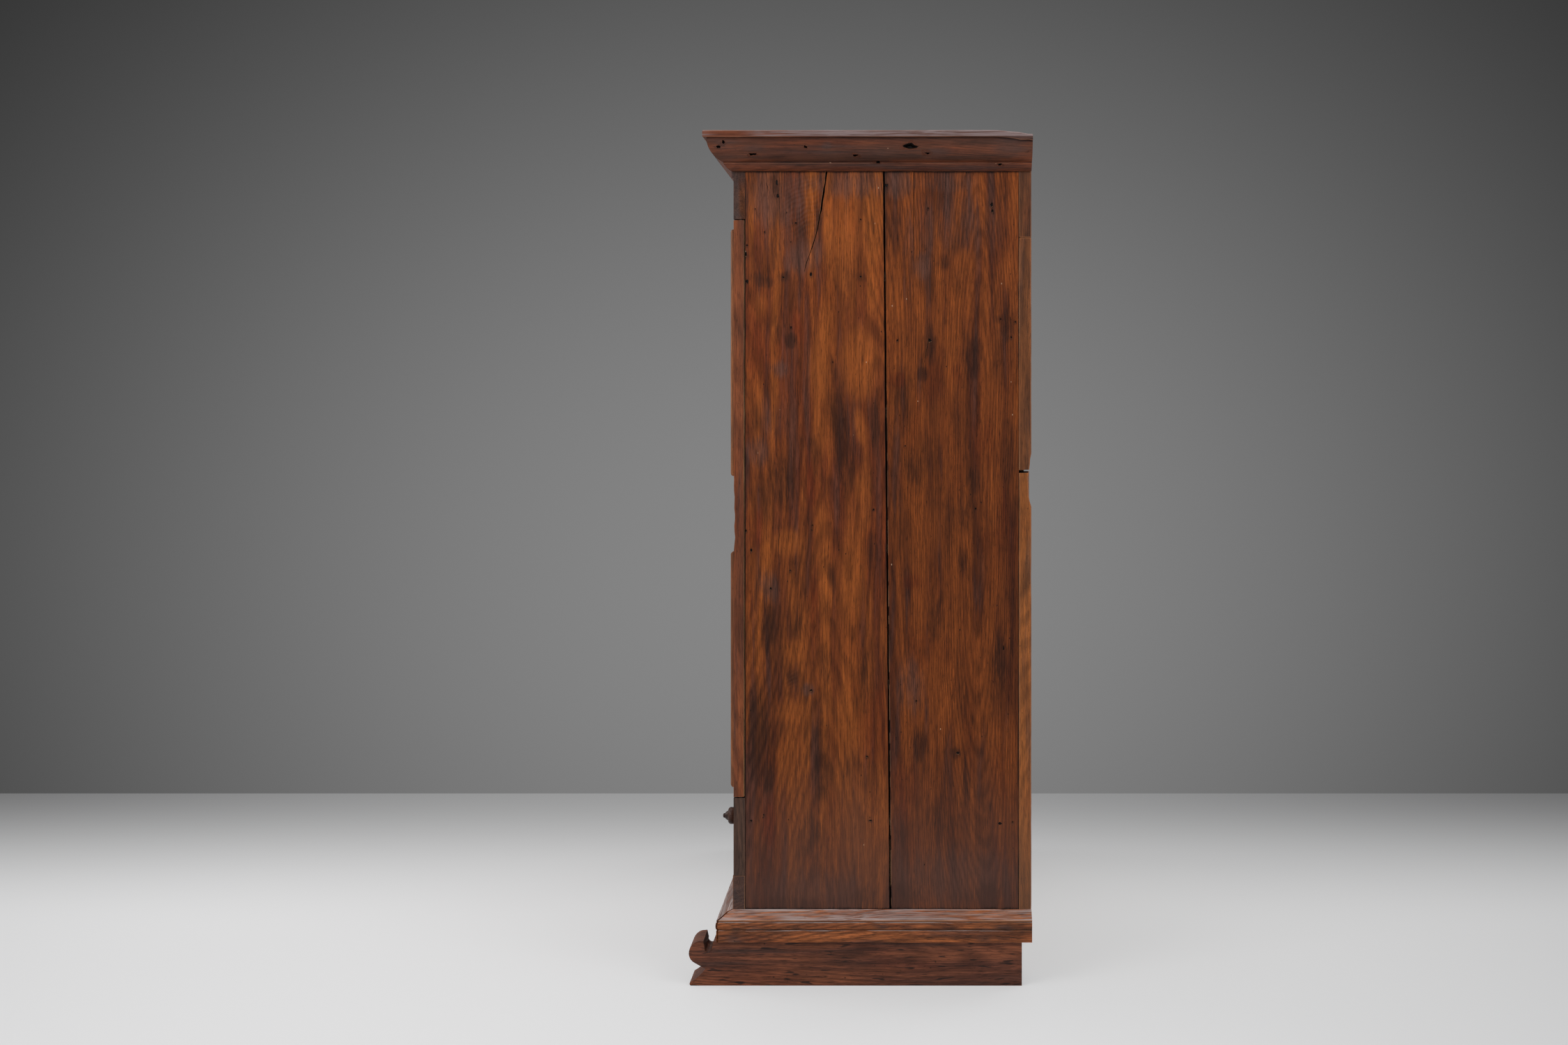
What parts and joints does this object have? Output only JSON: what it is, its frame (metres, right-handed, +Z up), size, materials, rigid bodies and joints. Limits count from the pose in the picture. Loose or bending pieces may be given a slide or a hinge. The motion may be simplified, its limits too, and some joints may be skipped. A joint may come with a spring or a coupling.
{
  "type": "two-door cupboard with drawer",
  "caption": "Tall wooden cupboard with doors hung on pins over a full-width drawer, moulded cornice and base, on sledge runners that end in a scroll.",
  "frame": {"origin": "under the centre of the whole's box, on the floor", "axes": "+X to the right as one faces the doors, +Y to the back, +Z up"},
  "size_m": [1.4802, 0.716, 1.78],
  "materials": {
    "case_wood": "old dark red-brown waxed wood, satin, open vertical grain with greyed patches",
    "door_wood": "old dark red-brown waxed wood, satin, worn edges",
    "moulding_wood": "old waxed wood, rubbed paler on the raised edges, dusty above",
    "foot_wood": "very dark scuffed wood, dull satin",
    "back_wood": "unfinished aged softwood, matte and grey-brown",
    "inner_wood": "unfinished aged softwood, matte, brown-yellow",
    "knob_wood": "dark polished turned wood",
    "iron": "dark forged iron, dull"
  },
  "bodies": {
    "case": {"side_front_board_right": "case_wood", "side_front_board_left": "case_wood", "side_rear_board_right": "case_wood", "side_rear_board_left": "case_wood", "bottom_boards": "inner_wood", "floor_boards": "inner_wood", "shelf_1": "inner_wood", "shelf_2": "inner_wood", "shelf_3": "inner_wood", "shelf_4": "inner_wood", "rear_stile_right_lower": "case_wood", "rear_stile_right_middle": "case_wood", "rear_stile_right_upper": "case_wood", "rear_stile_left": "back_wood", "back_boards": "back_wood", "runner_right": "foot_wood", "runner_left": "foot_wood", "plinth_board_front": "foot_wood", "plinth_board_rear": "inner_wood", "cornice_front": "moulding_wood", "cornice_right": "moulding_wood", "cornice_left": "moulding_wood", "base_moulding_front": "moulding_wood", "base_moulding_right": "moulding_wood", "base_moulding_left": "moulding_wood", "frieze_board": "case_wood", "drawer_stile_right": "case_wood", "drawer_stile_left": "case_wood", "waist_rail": "case_wood", "bottom_rail": "case_wood", "pivot_plates": "iron", "top_boards": "back_wood", "drawer_runners": "inner_wood", "drawer_guides": "inner_wood", "drawer_stops": "inner_wood"},
    "door_right": {"door_right_inner_board": "door_wood", "door_right_outer_board": "door_wood", "door_right_ledges": "inner_wood", "door_right_lower_moulding": "moulding_wood", "door_right_upper_moulding": "moulding_wood", "door_right_pivots": "iron", "lock_case": "iron", "escutcheon": "iron"},
    "door_left": {"door_left_inner_board": "door_wood", "door_left_outer_board": "door_wood", "door_left_ledges": "inner_wood", "door_left_lower_moulding": "moulding_wood", "door_left_upper_moulding": "moulding_wood", "door_left_pivots": "iron", "door_left_staples": "iron"},
    "drawer": {"drawer_front": "door_wood", "drawer_side_right": "inner_wood", "drawer_side_left": "inner_wood", "drawer_back": "inner_wood", "drawer_bottom": "inner_wood", "drawer_knobs": "knob_wood"},
    "key": {"key": "iron"},
    "lock_bolt": {"lock_bolt": "iron"},
    "door_left_bolt": {"door_left_bolt": "iron"}
  },
  "joints": [
    {"name": "door_right_hinge", "type": "hinge", "parent": "case", "child": "door_right", "pos_m": [0.674, -0.251, 0.39], "axis": [0, 0, 1], "range_deg": [0, 105]},
    {"name": "door_left_hinge", "type": "hinge", "parent": "case", "child": "door_left", "pos_m": [-0.674, -0.251, 0.39], "axis": [0, 0, -1], "range_deg": [0, 105]},
    {"name": "drawer_slide", "type": "slide", "parent": "case", "child": "drawer", "axis": [0, -1, 0], "range_m": [0, 0.4]},
    {"name": "key_turn", "type": "hinge", "parent": "door_right", "child": "key", "pos_m": [0.0535, -0.266, 0.98241], "axis": [0, -1, 0], "range_deg": [0, 180]},
    {"name": "lock_bolt_slide", "type": "slide", "parent": "door_right", "child": "lock_bolt", "axis": [-1, 0, 0], "range_m": [0, 0.014]},
    {"name": "door_left_bolt_slide", "type": "slide", "parent": "door_left", "child": "door_left_bolt", "axis": [0, 0, -1], "range_m": [0, 0.03]}
  ],
  "couplings": [
    {"joint": "key_turn", "follows": "lock_bolt_slide", "rad_per_m": 224}
  ]
}
